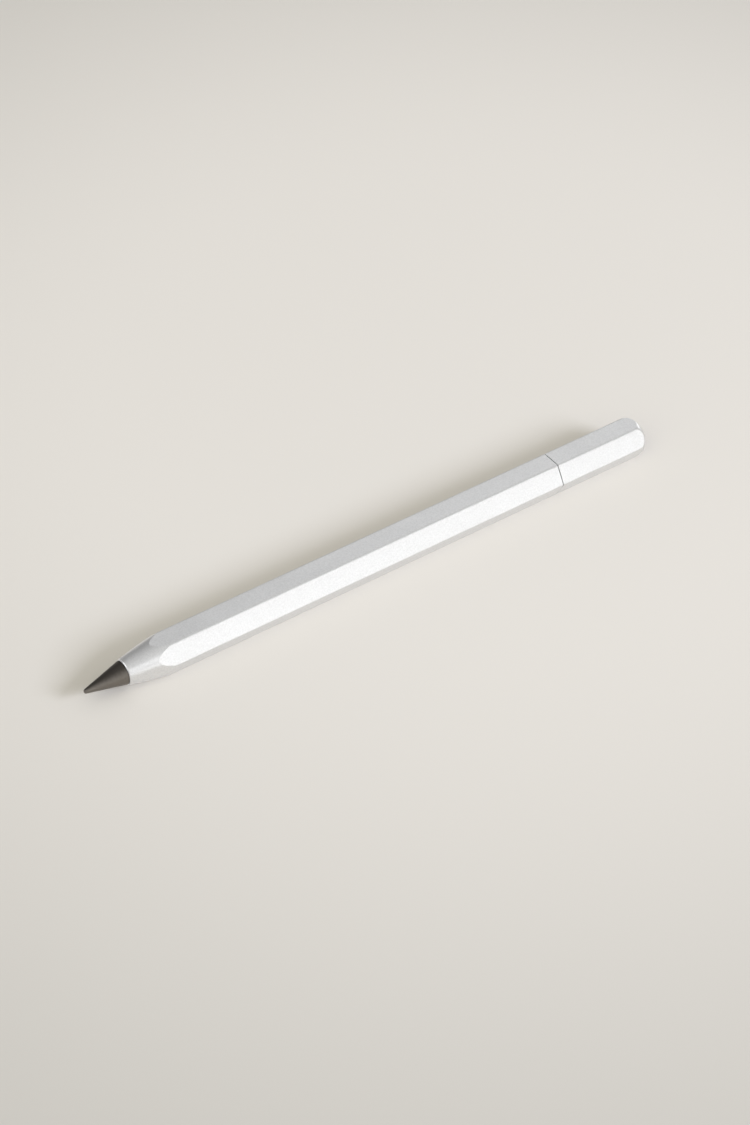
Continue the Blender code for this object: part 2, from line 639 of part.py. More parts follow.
def main():
    """Clears the scene and puts the pencil together."""
    for old in list(bpy.data.objects):
        bpy.data.objects.remove(old, do_unlink=True)

    aluminium = make_material("satin_anodised_aluminium", (0.60, 0.61, 0.63), 0.38, 1.0)
    graphite = make_material("graphite_alloy", (0.050, 0.043, 0.038), 0.42, 0.6)
    steel = make_material("turned_steel", (0.52, 0.52, 0.53), 0.28, 1.0)
    brass = make_material("turned_brass", (0.62, 0.45, 0.17), 0.30, 1.0)
    rubber = make_material("black_rubber", (0.012, 0.012, 0.013), 0.65, 0.0)
    nylon = make_material("natural_nylon", (0.71, 0.69, 0.62), 0.45, 0.0)
    pencil_lead = make_material("pencil_lead", (0.030, 0.030, 0.033), 0.40, 0.3)

    pencil = make_empty("pencil")
    pencil.location = (-LENGTH / 2, 0, APOTHEM)
    tip_slide = make_empty("tip_slide", pencil)
    tip_turn = make_empty("tip_turn", tip_slide)
    cap_pull = make_empty("cap_pull", pencil)
    nose_twist = make_empty("nose_twist", pencil)
    lead_feed = make_empty("lead_feed", nose_twist)

    make_barrel(pencil, aluminium)
    make_rear_bush(pencil, brass)
    make_cap_seal(pencil, rubber)
    make_spiral_sleeve(pencil, brass)
    make_tip_seal(tip_slide, rubber)
    make_tip(tip_turn, graphite)
    make_tip_stud(tip_turn, steel)
    make_rear_cap(cap_pull, aluminium)
    make_thrust_washer(nose_twist, nylon)
    make_lead_nose(nose_twist, aluminium)
    make_lead_sleeve(nose_twist, steel)
    make_lead_guide(nose_twist, nylon)
    make_guide_tube(nose_twist, brass)
    make_retaining_ring(nose_twist, steel)
    make_wave_washer(nose_twist, steel)
    make_tail_plug(nose_twist, nylon)
    make_carrier(lead_feed, nylon)
    make_drive_pin(lead_feed, steel)
    make_push_rod(lead_feed, steel)
    make_lead_clip(lead_feed, brass)
    make_lead(lead_feed, pencil_lead)


main()
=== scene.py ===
"""Looks of the double-ended pencil: fine meshes, finishes, a pale floor, soft light and the camera.

Laid out as a Blender add-on and run as a script. Metres, +Z up. The pencil lies along X with its point
at -X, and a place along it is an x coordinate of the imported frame, which every size here starts from.
"""

import json
import math

import bpy
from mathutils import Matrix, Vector


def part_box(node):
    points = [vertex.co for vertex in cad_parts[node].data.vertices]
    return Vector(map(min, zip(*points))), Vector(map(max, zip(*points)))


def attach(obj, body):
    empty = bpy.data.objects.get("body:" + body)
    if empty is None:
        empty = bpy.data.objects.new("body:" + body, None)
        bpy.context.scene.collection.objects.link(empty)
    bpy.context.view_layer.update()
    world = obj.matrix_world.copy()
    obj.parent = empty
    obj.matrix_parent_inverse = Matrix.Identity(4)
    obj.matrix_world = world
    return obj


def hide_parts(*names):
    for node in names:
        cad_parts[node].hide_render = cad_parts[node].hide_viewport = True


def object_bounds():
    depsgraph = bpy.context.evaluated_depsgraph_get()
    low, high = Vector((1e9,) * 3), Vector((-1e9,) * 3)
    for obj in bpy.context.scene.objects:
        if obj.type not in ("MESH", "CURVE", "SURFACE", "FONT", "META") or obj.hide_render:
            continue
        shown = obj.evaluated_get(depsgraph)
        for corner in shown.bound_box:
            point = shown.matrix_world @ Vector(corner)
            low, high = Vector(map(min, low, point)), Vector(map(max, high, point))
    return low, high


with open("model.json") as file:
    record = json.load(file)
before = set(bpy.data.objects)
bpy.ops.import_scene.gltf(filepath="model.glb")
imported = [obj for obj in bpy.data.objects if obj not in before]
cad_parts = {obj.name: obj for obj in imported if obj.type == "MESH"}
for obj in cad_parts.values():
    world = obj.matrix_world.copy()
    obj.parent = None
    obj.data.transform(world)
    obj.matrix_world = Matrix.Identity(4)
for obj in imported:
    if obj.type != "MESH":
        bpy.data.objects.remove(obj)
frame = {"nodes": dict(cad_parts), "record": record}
CAD_LOW, CAD_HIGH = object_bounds()

bl_info = {
    "name": "Double-ended pencil",
    "version": (1, 0, 0),
    "blender": (4, 5, 0),
    "location": "View3D > Sidebar > Pencil",
    "description": "Models and finishes a hexagonal pencil round its packed frame",
    "category": "Object",
}

# The sRGB curve: a straight toe, then a power of the shifted value
CHANNEL_TOP = 255
SRGB_TOE = 0.04045
SRGB_SLOPE = 12.92
SRGB_SHIFT = 0.055
SRGB_POWER = 2.4

# What the frame says of each node
BODY = {node: body for body, nodes in frame["record"]["behaviour"]["bodies"].items() for node in nodes}
SLOT = {part["node"]: part["material_slot"] for part in frame["record"]["subparts"]}

# Hexagon of the barrel and the cap
SIDES = 6
HALF_CORNER = math.pi / SIDES
AXIS = (CAD_LOW.z + CAD_HIGH.z) / 2
APOTHEM = (CAD_HIGH.z - CAD_LOW.z) / 2
CORNER_REACH = CAD_HIGH.y
SHARP_REACH = APOTHEM / math.cos(HALF_CORNER)
EDGE_FILLET = (SHARP_REACH - CORNER_REACH) / (1 / math.cos(HALF_CORNER) - 1)

# Facets of turned and rounded shapes
TURNED_SEGMENTS = 96
OUTLINE_SEGMENTS = 180
NOSE_STEPS = 20
ARC_STEPS = 16
FILLET_SEGMENTS = 12
ROUNDING_SEGMENTS = 3
SECTION_SEGMENTS = 20
THREAD_STEPS = 64
# The stud's core and outline have facet counts that never line up with each other or with the thread
CORE_SEGMENTS = 61
STUD_SEGMENTS = 97
# Facets that meet at less than this are shaded as one surface
SMOOTH_ANGLE = math.radians(7)

# Tooth of the stud's thread, in shares of its pitch: where its front flank starts and where that flank ends
TOOTH_FOOT = 0.05
TOOTH_CREST = 0.44

# Points closer than WELD are merged, and points within NEAR count as one place
WELD = 1e-7
NEAR = 1e-6
# A cutter runs CUT_MARGIN past what it cuts, and an outline keeps TRIM_MARGIN off what it runs along
CUT_MARGIN = 0.0010
TRIM_MARGIN = 0.00002
# The floor lies this far under the flat that the pencil rests on
FLOOR_GAP = 1e-6

# Softboxes: azimuth and elevation in degrees, distance, width and height in metres, and what each is for.
# The key and side lamps only light, and the strips and all cards but one only show in the metal.
LIGHTS = ("visible_diffuse",)
SHOWS = ("visible_glossy",)
BOTH = LIGHTS + SHOWS
SOFTBOXES = (
    ("key", 28, 28, 3.0, 1.26, 0.90, LIGHTS),
    ("side", -60, 42, 3.0, 2.70, 2.40, LIGHTS),
    ("back", 135, 42, 1.0, 0.60, 0.50, SHOWS),
    ("face", 28, 4, 1.0, 0.70, 0.10, SHOWS),
    ("card", 0, 33, 1.0, 0.70, 0.35, BOTH),
    ("strip", 0, 4, 1.0, 0.80, 0.13, SHOWS),
    ("rim", -105, 27, 1.0, 0.90, 0.50, SHOWS),
    ("dome", 118, 8, 1.0, 0.75, 0.30, SHOWS),
)

# Where the studio is palest, and the cosines at which it starts and stops to pale
STUDIO_FRONT = (0.2, -0.8, 0.55)
STUDIO_START = -0.25
STUDIO_STOP = 1.0

# Pool of light painted into the floor's colour: its middle, and where it starts and stops to fade
PAINTED_POOL_MIDDLE = (0.061, 0.045, 0)
PAINTED_POOL_START = 0.078
PAINTED_POOL_STOP = 0.32

# Side of the graphite point that is painted paler as painted light, and how far round it reaches, as
# cosines
PAINTED_LIGHT_SIDE = (0, -0.985, -0.174)
PAINTED_LIGHT_START = 0.13
PAINTED_LIGHT_STOP = 1.0
PAINTED_LIGHT_MOTTLE = 0.35

# Sockets of a Mix node that mixes colours
MIX_FIRST = 6
MIX_SECOND = 7
MIX_RESULT = 2

# Where nearly all values of a noise lie
NOISE_SPAN = {"From Min": 0.3, "From Max": 0.7}


def span(node):
    """Front and rear of a node along the pencil."""
    low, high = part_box(node)
    return low.x, high.x


def outer(node):
    """Outer radius of a round node, or half the width across flats of a hexagonal one."""
    low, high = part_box(node)
    return (high.z - low.z) / 2


def linear(code):
    """Linear colour of an sRGB hex code such as #A0B0C0."""
    parts = [int(code[start : start + 2], 16) / CHANNEL_TOP for start in (1, 3, 5)]
    return [
        part / SRGB_SLOPE if part <= SRGB_TOE else ((part + SRGB_SHIFT) / (1 + SRGB_SHIFT)) ** SRGB_POWER
        for part in parts
    ]


def length(name, description, default):
    """Property for a length in metres."""
    return bpy.props.FloatProperty(
        name=name, description=description, default=default, min=0, precision=5, unit="LENGTH"
    )


def colour(name, description, code):
    """Property for a colour, from its hex code."""
    return bpy.props.FloatVectorProperty(
        name=name, description=description, default=linear(code), min=0, max=1, size=3, subtype="COLOR"
    )


def angle(name, description, degrees):
    """Property for an angle, from degrees."""
    return bpy.props.FloatProperty(
        name=name, description=description, default=math.radians(degrees), subtype="ANGLE"
    )


def share(name, description, default):
    """Property for a plain number."""
    return bpy.props.FloatProperty(name=name, description=description, default=default, min=0, precision=3)


def power(name, description, default):
    """Property for a lamp's power in watts."""
    return bpy.props.FloatProperty(name=name, description=description, default=default, min=0, unit="POWER")


class PencilSizes(bpy.types.PropertyGroup):
    """Sizes that the frame's boxes don't give."""

    edge_fillet: length("Edge fillet", "Rounding of the long edges of barrel and cap", EDGE_FILLET)
    edge_break: length("Edge break", "Small rounding of machined edges", 0.00008)
    nose_length: length("Nose length", "Turned part of the barrel behind the rim", 0.0105)
    nose_bulge: share("Nose bulge", "Share by which the nose is fuller than a straight cone", 0.15)
    rim_width: length("Rim width", "Ring of metal that shows round the graphite point", 0.0002)
    rim_chamfer: length("Rim chamfer", "Bright chamfer of the rim round the graphite point", 0.00018)
    seam_break: length("Seam break", "Rounding of the edges where the cap meets the barrel", 0.00005)
    bulkhead: length("Bulkhead", "Solid metal between the nose and the front bore", 0.0076)
    bore_shoulder: length("Bore shoulder", "Step in the barrel's bore that stops the spiral sleeve", 0.0004)
    point_radius: length("Point radius", "Rounding of the worn graphite point", 0.00055)
    point_shift: bpy.props.FloatVectorProperty(
        name="Point shift",
        description="How far the worn point has come off the axis",
        default=(0, -0.00021, -0.00020),
        size=3,
        precision=5,
        subtype="TRANSLATION",
        unit="LENGTH",
    )
    shank_wall: length("Shank wall", "Wall of the stud round the graphite shank", 0.00055)
    stud_room: length("Stud room", "Free depth of the threaded hole behind the stud", 0.0010)
    thread_pitch: length("Thread pitch", "Travel of the stud in one turn", 0.0007)
    thread_depth: length("Thread depth", "Height of the stud's thread", 0.00028)
    cap_rounding: length("Cap rounding", "Rounding of the cap's closed end", 0.0033)
    cap_end_wall: length("Cap end wall", "Metal behind the cap's bore", 0.0022)
    mouth_step: length("Mouth step", "Cap's hexagonal mouth over its round bore", 0.00005)
    key_length: length("Key length", "Hexagonal key of the bush", 0.00225)
    key_chamfer: length("Key chamfer", "Lead-in at the rear of the key", 0.00025)
    neck_length: length("Neck length", "Round neck of the bush behind the key", 0.0032)
    grip_length: length("Grip length", "Fluted grip of the lead nose", 0.0030)
    flute_count: bpy.props.IntProperty(
        name="Flutes", description="Grooves round the grip", default=12, min=3, max=36
    )
    flute_radius: length("Flute radius", "Radius of the cutter of a flute", 0.00035)
    flute_depth: length("Flute depth", "Depth of a flute", 0.0002)
    cone_end_wall: length("Cone end wall", "Wall of the lead nose round its sleeve", 0.0003)
    lead_wear: angle("Lead wear", "Slant of the lead's worn end", 14)
    fit_gap: length("Fit gap", "Gap of pieces that are fixed in each other", 0.0001)
    run_gap: length("Run gap", "Gap of pieces that turn or slide", 0.00015)


class PencilColours(bpy.types.PropertyGroup):
    """Colours of the finishes."""

    aluminium: colour("Aluminium", "Clear anodised aluminium", "#F1F2F4")
    aluminium_grain: colour("Aluminium grain", "Its faint darker grain", "#E4E5E7")
    graphite: colour("Graphite", "Turned graphite composite", "#524E4A")
    # Paler graphite colour: painted light on the point's lower front side
    graphite_painted_light: colour("Graphite worn", "Its side that was burnished in writing", "#7F7A74")
    steel: colour("Steel", "Turned stainless steel", "#C8C7C6")
    steel_shade: colour("Steel shade", "Its duller patches", "#BAB9B8")
    brass: colour("Brass", "Turned brass", "#D8B56A")
    brass_tarnish: colour("Brass tarnish", "Its duller patches", "#C09A55")
    rubber: colour("Rubber", "Black nitrile rubber", "#1B1B1C")
    rubber_bloom: colour("Rubber bloom", "Grey bloom on the rubber", "#2C2C2C")
    nylon: colour("Nylon", "Natural nylon", "#E6E2D6")
    nylon_shade: colour("Nylon shade", "Its milky clouds", "#DAD5C6")
    lead: colour("Lead", "Polymer graphite lead", "#343437")
    lead_streak: colour("Lead streak", "Its drawn streaks", "#4A4A4E")
    floor: colour("Floor", "Pale floor under the pencil", "#E6E2DB")
    # Darker floor colour past the painted pool of light
    floor_past_painted_pool: colour("Floor edge", "Pale floor away from the pencil", "#C4C1BA")
    studio: colour("Studio", "Walls of the studio behind the pencil", "#9D9C9A")
    studio_front: colour("Studio front", "Paler walls and ceiling in front", "#E5E4E1")
    key_light: colour("Key light", "Cool daylight of the key softbox", "#EBEFFF")
    side_light: colour("Side light", "Warm light of the left softbox", "#FFFAE0")
    fill_light: colour("Fill light", "Light of the other softboxes", "#FFFFFF")


class PencilStage(bpy.types.PropertyGroup):
    """Camera and light. Azimuth 0 is in front of the pencil and 90 beyond its cap."""

    camera_azimuth: angle("Camera azimuth", "Where the camera stands round the pencil", -35.36)
    camera_elevation: angle("Camera elevation", "How far the camera looks down", 41.02)
    camera_distance: length("Camera distance", "From the camera to its target", 0.7508)
    camera_target: bpy.props.FloatVectorProperty(
        name="Camera target",
        description="Point on the floor that the camera looks at",
        default=(0.002074, 0.002090, 0),
        size=3,
        subtype="XYZ",
        unit="LENGTH",
    )
    camera_lens: bpy.props.FloatProperty(
        name="Camera lens", description="Focal length", default=107.95, min=1, unit="CAMERA"
    )
    floor_size: length("Floor size", "Side of the floor", 8.0)
    key_power: power("Key power", "Softbox in front on the right, which throws the shadow", 67.0)
    side_power: power("Side power", "Softbox on the left, which softens the shadow", 20.5)
    back_power: power("Back power", "Softbox behind on the right, which the top flat shows", 0.37)
    face_power: power("Face power", "Low strip on the right, which the front flat shows", 0.62)
    card_power: power("Card power", "Dim reflector card in front", 0.345)
    strip_power: power("Strip power", "Low strip in front, which the nose shows", 0.29)
    rim_power: power("Rim power", "Card beyond the point, which the rim round it shows", 2.0)
    dome_power: power("Dome power", "Low card behind the cap, which its rounded end shows", 1.1)


def clear_selection():
    """Leaves edit mode with nothing selected, so that an operator acts on one piece alone."""
    if bpy.context.object and bpy.context.object.mode != "OBJECT":
        bpy.ops.object.mode_set(mode="OBJECT")
    bpy.ops.object.select_all(action="DESELECT")


def activate(piece):
    """Makes a piece the only selected one."""
    clear_selection()
    bpy.context.view_layer.objects.active = piece
    piece.select_set(True)


def pick(piece, kind, test):
    """Opens a piece in edit mode with the vertices or edges selected that pass a test on their points."""
    activate(piece)
    mesh = piece.data
    bpy.ops.object.mode_set(mode="EDIT")
    bpy.ops.mesh.select_mode(type=kind)
    bpy.ops.mesh.select_all(action="DESELECT")
    bpy.ops.object.mode_set(mode="OBJECT")
    if kind == "VERT":
        for vert in mesh.vertices:
            vert.select = test(vert.co)
    else:
        for edge in mesh.edges:
            edge.select = test(*[mesh.vertices[index].co for index in edge.vertices])
    bpy.ops.object.mode_set(mode="EDIT")


def drawn(name, points):
    """New piece in edit mode: a plane merged to the first point, then extruded from point to point."""
    clear_selection()
    bpy.ops.mesh.primitive_plane_add(size=AXIS)
    piece = bpy.context.object
    piece.name = name
    bpy.ops.object.mode_set(mode="EDIT")
    bpy.ops.mesh.select_mode(type="VERT")
    bpy.ops.mesh.select_all(action="SELECT")
    bpy.ops.mesh.merge(type="CENTER")
    bpy.ops.transform.translate(value=points[0])
    for here, there in zip(points, points[1:]):
        bpy.ops.mesh.extrude_vertices_move(TRANSFORM_OT_translate={"value": there - here})
    weld()
    return piece


def weld():
    """Merges what coincides in the piece that is open, and turns its faces outwards."""
    bpy.ops.mesh.select_all(action="SELECT")
    bpy.ops.mesh.remove_doubles(threshold=WELD)
    bpy.ops.mesh.normals_make_consistent(inside=False)


def spun(steps, copies=False):
    """Spins what is open in edit mode round the pencil's axis, as a surface or as copies."""
    bpy.ops.mesh.select_all(action="SELECT")
    bpy.ops.mesh.spin(steps=steps, dupli=copies, angle=2 * math.pi, center=(0, 0, AXIS), axis=(1, 0, 0))
    weld()
    bpy.ops.object.mode_set(mode="OBJECT")


def turned(name, corners, segments=TURNED_SEGMENTS):
    """Piece turned on the pencil's axis: its half section is drawn from corner to corner and spun.

    A corner is (place, radius), or (place, radius, rounding) where the edge is broken. The section runs
    from axis to axis, or back to its first corner where it is a ring.
    """
    points = [Vector((corner[0], 0, AXIS + corner[1])) for corner in corners]
    ring = corners[0][1] > 0
    piece = drawn(name, points + points[:1] if ring else points)
    for rounding in sorted({corner[2] for corner in corners if len(corner) > 2}):
        rounded = [point for point, corner in zip(points, corners) if corner[2:] == (rounding,)]
        pick(piece, "VERT", lambda place: any((place - point).length < NEAR for point in rounded))
        bpy.ops.mesh.bevel(offset=rounding, segments=ROUNDING_SEGMENTS, affect="VERTICES")
    spun(segments)
    return piece


def plain_bar(front, rear, radius):
    """Corners of a plain round bar, or of the cutter of a plain hole."""
    return [(front, 0), (front, radius), (rear, radius), (rear, 0)]


def plain_ring(node, bore, rounding):
    """Corners of a ring as long and as wide as its node, with its outer edges broken."""
    front, rear = span(node)
    reach = outer(node)
    return [(front, bore), (front, reach, rounding), (rear, reach, rounding), (rear, bore)]


def arc(place, radius, size, first, last):
    """Points of an arc in a turned section. Its angles run from +X towards the outside."""
    angles = [first + (last - first) * step / ARC_STEPS for step in range(ARC_STEPS + 1)]
    return [(place + size * math.cos(turn), radius + size * math.sin(turn)) for turn in angles]


def hexagonal_bar(name, front, rear, apothem, fillet):
    """Hexagonal bar that stands on a flat, with its long edges rounded."""
    clear_selection()
    bpy.ops.mesh.primitive_cylinder_add(
        vertices=SIDES,
        radius=apothem / math.cos(HALF_CORNER),
        depth=rear - front,
        location=((front + rear) / 2, 0, AXIS),
        rotation=(0, math.pi / 2, 0),
    )
    bar = bpy.context.object
    bar.name = name
    bpy.ops.object.transform_apply()
    pick(bar, "EDGE", lambda one, other: abs(one.x - other.x) > NEAR)
    bpy.ops.mesh.bevel(offset=fillet * math.tan(HALF_CORNER), segments=FILLET_SEGMENTS, affect="EDGES")
    bpy.ops.object.mode_set(mode="OBJECT")
    return bar


def break_end(piece, place, width, within=SHARP_REACH):
    """Rounds the edges that lie across the pencil at a place, up to a distance from its axis."""

    def on_end(*points):
        flat = all(abs(point.x - place) < NEAR for point in points)
        return flat and all(math.hypot(point.y, point.z - AXIS) < within for point in points)

    pick(piece, "EDGE", on_end)
    bpy.ops.mesh.bevel(offset=width, segments=ROUNDING_SEGMENTS, affect="EDGES")
    bpy.ops.object.mode_set(mode="OBJECT")


def combine(piece, tool, operation):
    """Cuts, trims or joins a piece with another shape, which is used up."""
    activate(piece)
    bpy.ops.object.modifier_add(type="BOOLEAN")
    modifier = piece.modifiers[-1]
    modifier.operation = operation
    modifier.solver = "EXACT"
    modifier.object = tool
    bpy.ops.object.modifier_apply(modifier=modifier.name)
    bpy.data.objects.remove(tool)


def dress(piece, node):
    """Gives a piece the finish of its node."""
    piece.data.materials.clear()
    piece.data.materials.append(finish(SLOT[node]))


def fit(piece, node):
    """Shades a finished piece, dresses it and puts it in the place of its node."""
    activate(piece)
    bpy.ops.object.shade_smooth_by_angle(angle=SMOOTH_ANGLE)
    bpy.ops.object.modifier_add(type="WEIGHTED_NORMAL")
    modifier = piece.modifiers[-1]
    modifier.keep_sharp = True
    bpy.ops.object.modifier_apply(modifier=modifier.name)
    dress(piece, node)
    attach(piece, BODY[node])
    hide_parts(node)


def add(tree, kind, settings=None, values=None, links=None):
    """Adds a node with its own settings, its sockets' constants and the links into it."""
    node = tree.nodes.new(kind)
    for key, value in (settings or {}).items():
        setattr(node, key, value)
    for key, value in (values or {}).items():
        node.inputs[key].default_value = value
    for key, source in (links or {}).items():
        tree.links.new(source, node.inputs[key])
    return node


def new_material(name):
    """Empty node material: its tree and the Object coordinates of the piece that wears it."""
    material = bpy.data.materials.new(name)
    material.use_nodes = True
    tree = material.node_tree
    tree.nodes.clear()
    place = add(tree, "ShaderNodeTexCoord").outputs["Object"]
    return material, tree, place


def close_material(tree, values, links):
    """Ends a material's tree in a Principled shader."""
    shader = add(tree, "ShaderNodeBsdfPrincipled", values=values, links=links)
    add(tree, "ShaderNodeOutputMaterial", links={"Surface": shader.outputs["BSDF"]})


def opaque(value):
    """Colour property as a shader's four numbers."""
    return (*value, 1.0)


def satin_aluminium(colours):
    """Bead-blasted, clear anodised aluminium: a fine grain with no direction and a wide, soft gloss."""
    material, tree, place = new_material("bead_blasted_anodised_aluminium")
    dimple = 0.00035  # real dimples are about 0.1 mm and are drawn coarser to show
    dimple_depth = 0.000016
    cloud = 0.009
    grain = add(
        tree,
        "ShaderNodeTexNoise",
        values={"Scale": 1 / dimple, "Detail": 2.0, "Roughness": 0.6},
        links={"Vector": place},
    )
    clouds = add(
        tree, "ShaderNodeTexNoise", values={"Scale": 1 / cloud, "Detail": 3.0}, links={"Vector": place}
    )
    speck = add(
        tree,
        "ShaderNodeMapRange",
        values=NOISE_SPAN,
        links={"Value": grain.outputs["Fac"]},
    )
    tint = add(
        tree,
        "ShaderNodeMix",
        settings={"data_type": "RGBA"},
        values={MIX_FIRST: opaque(colours.aluminium_grain), MIX_SECOND: opaque(colours.aluminium)},
        links={"Factor": speck.outputs["Result"]},
    )
    gloss = add(
        tree,
        "ShaderNodeMapRange",
        values={**NOISE_SPAN, "To Min": 0.31, "To Max": 0.37},
        links={"Value": clouds.outputs["Fac"]},
    )
    bump = add(
        tree,
        "ShaderNodeBump",
        values={"Strength": 0.5, "Distance": dimple_depth},
        links={"Height": grain.outputs["Fac"]},
    )
    close_material(
        tree,
        {"Metallic": 1.0},
        {
            "Base Color": tint.outputs[MIX_RESULT],
            "Roughness": gloss.outputs["Result"],
            "Normal": bump.outputs["Normal"],
        },
    )
    return material


def graphite(colours):
    """Turned graphite composite: warm dark grey with a dull metallic sheen, fine rings and soft mottling.

    Its lower front side is painted paler as painted light, which fades into the rest without an edge.
    """
    material, tree, place = new_material("turned_graphite_composite")
    mottle = 0.0009
    ring = 0.00016  # rings of the lathe tool, drawn coarser than the real 0.05 mm
    ring_depth = 0.000006
    mottles = add(
        tree,
        "ShaderNodeTexNoise",
        values={"Scale": 1 / mottle, "Detail": 4.0, "Roughness": 0.6},
        links={"Vector": place},
    )
    rings = add(
        tree,
        "ShaderNodeTexNoise",
        settings={"noise_dimensions": "1D"},
        values={"Scale": 1 / ring, "Detail": 2.0},
        links={"W": add(tree, "ShaderNodeSeparateXYZ", links={"Vector": place}).outputs["X"]},
    )
    across = add(
        tree,
        "ShaderNodeMapping",
        values={"Location": (0, 0, -AXIS), "Scale": (0, 1, 1)},
        links={"Vector": place},
    )
    outwards = add(
        tree,
        "ShaderNodeVectorMath",
        settings={"operation": "NORMALIZE"},
        links={0: across.outputs["Vector"]},
    )
    facing = add(
        tree,
        "ShaderNodeVectorMath",
        settings={"operation": "DOT_PRODUCT"},
        values={1: PAINTED_LIGHT_SIDE},
        links={0: outwards.outputs["Vector"]},
    )
    uneven = add(
        tree,
        "ShaderNodeMath",
        settings={"operation": "MULTIPLY_ADD"},
        values={1: PAINTED_LIGHT_MOTTLE},
        links={0: mottles.outputs["Fac"], 2: facing.outputs["Value"]},
    )
    # Painted light: mask that makes the point's lower front side paler
    worn = add(
        tree,
        "ShaderNodeMapRange",
        settings={"interpolation_type": "SMOOTHSTEP"},
        values={"From Min": PAINTED_LIGHT_START + PAINTED_LIGHT_MOTTLE / 2, "From Max": PAINTED_LIGHT_STOP + PAINTED_LIGHT_MOTTLE / 2},
        links={"Value": uneven.outputs["Value"]},
    )
    tint = add(
        tree,
        "ShaderNodeMix",
        settings={"data_type": "RGBA"},
        values={MIX_FIRST: opaque(colours.graphite), MIX_SECOND: opaque(colours.graphite_painted_light)},
        links={"Factor": worn.outputs["Result"]},
    )
    gloss = add(
        tree,
        "ShaderNodeMapRange",
        values={**NOISE_SPAN, "To Min": 0.46, "To Max": 0.38},
        links={"Value": mottles.outputs["Fac"]},
    )
    bump = add(
        tree,
        "ShaderNodeBump",
        values={"Strength": 0.5, "Distance": ring_depth},
        links={"Height": rings.outputs["Fac"]},
    )
    close_material(
        tree,
        {"Metallic": 1.0},
        {
            "Base Color": tint.outputs[MIX_RESULT],
            "Roughness": gloss.outputs["Result"],
            "Normal": bump.outputs["Normal"],
        },
    )
    return material


def lathe_metal(name, first, second, roughness):
    """Metal from the lathe: close rings round the axis that draw the highlight out along the pencil."""
    material, tree, place = new_material(name)
    ring = 0.00014  # tool marks, drawn coarser than the real 0.04 mm
    ring_depth = 0.000008
    patch = 0.0018
    spread = 0.06
    along = add(tree, "ShaderNodeSeparateXYZ", links={"Vector": place}).outputs["X"]
    rings = add(
        tree,
        "ShaderNodeTexNoise",
        settings={"noise_dimensions": "1D"},
        values={"Scale": 1 / ring, "Detail": 2.0},
        links={"W": along},
    )
    patches = add(
        tree, "ShaderNodeTexNoise", values={"Scale": 1 / patch, "Detail": 3.0}, links={"Vector": place}
    )
    tint = add(
        tree,
        "ShaderNodeMix",
        settings={"data_type": "RGBA"},
        values={MIX_FIRST: opaque(first), MIX_SECOND: opaque(second)},
        links={"Factor": patches.outputs["Fac"]},
    )
    gloss = add(
        tree,
        "ShaderNodeMapRange",
        values={"To Min": roughness - spread, "To Max": roughness + spread},
        links={"Value": rings.outputs["Fac"]},
    )
    bump = add(
        tree,
        "ShaderNodeBump",
        values={"Strength": 0.5, "Distance": ring_depth},
        links={"Height": rings.outputs["Fac"]},
    )
    close_material(
        tree,
        {"Metallic": 1.0},
        {
            "Base Color": tint.outputs[MIX_RESULT],
            "Roughness": gloss.outputs["Result"],
            "Normal": bump.outputs["Normal"],
        },
    )
    return material


def steel(colours):
    """Turned stainless steel: neutral grey, bright rings."""
    return lathe_metal("turned_stainless_steel", colours.steel, colours.steel_shade, roughness=0.28)


def brass(colours):
    """Turned brass: warm yellow with duller patches."""
    return lathe_metal("turned_brass", colours.brass, colours.brass_tarnish, roughness=0.30)


def moulded(name, first, second, cloud, grain, values):
    """Moulded or extruded stuff: soft clouds of two close colours and a fine matt skin.

    The grain of the skin is drawn coarser than the real one of some 0.05 mm, so that it shows.
    """
    material, tree, place = new_material(name)
    grain_depth = 0.000006
    clouds = add(
        tree, "ShaderNodeTexNoise", values={"Scale": 1 / cloud, "Detail": 3.0}, links={"Vector": place}
    )
    skin = add(
        tree, "ShaderNodeTexNoise", values={"Scale": 1 / grain, "Detail": 2.0}, links={"Vector": place}
    )
    tint = add(
        tree,
        "ShaderNodeMix",
        settings={"data_type": "RGBA"},
        values={MIX_FIRST: opaque(first), MIX_SECOND: opaque(second)},
        links={"Factor": clouds.outputs["Fac"]},
    )
    bump = add(
        tree,
        "ShaderNodeBump",
        values={"Strength": 0.4, "Distance": grain_depth},
        links={"Height": skin.outputs["Fac"]},
    )
    close_material(
        tree, values, {"Base Color": tint.outputs[MIX_RESULT], "Normal": bump.outputs["Normal"]}
    )
    return material


def rubber(colours):
    """Moulded nitrile rubber: matt black with a faint grey bloom."""
    return moulded(
        "moulded_nitrile_rubber",
        colours.rubber,
        colours.rubber_bloom,
        cloud=0.0012,
        grain=0.00018,
        values={"Roughness": 0.62, "IOR": 1.52},
    )


def nylon(colours):
    """Moulded natural nylon: milky white, a little translucent, satin."""
    values = {
        "Roughness": 0.44,
        "IOR": 1.53,
        "Subsurface Weight": 0.2,
        "Subsurface Scale": 0.0006,
    }
    return moulded(
        "moulded_natural_nylon",
        colours.nylon,
        colours.nylon_shade,
        cloud=0.0020,
        grain=0.00030,
        values=values,
    )


def pencil_lead(colours):
    """Extruded polymer graphite: near black with a grey sheen."""
    return moulded(
        "extruded_polymer_lead",
        colours.lead,
        colours.lead_streak,
        cloud=0.00035,
        grain=0.00012,
        values={"Metallic": 0.45, "Roughness": 0.42},
    )


FINISHES = {
    "satin_aluminium": satin_aluminium,
    "graphite": graphite,
    "steel": steel,
    "brass": brass,
    "rubber": rubber,
    "nylon": nylon,
    "pencil_lead": pencil_lead,
}
made_finishes = {}


def finish(slot):
    """Material of a slot, made once."""
    if slot not in made_finishes:
        made_finishes[slot] = FINISHES[slot](bpy.context.scene.pencil_colours)
    return made_finishes[slot]


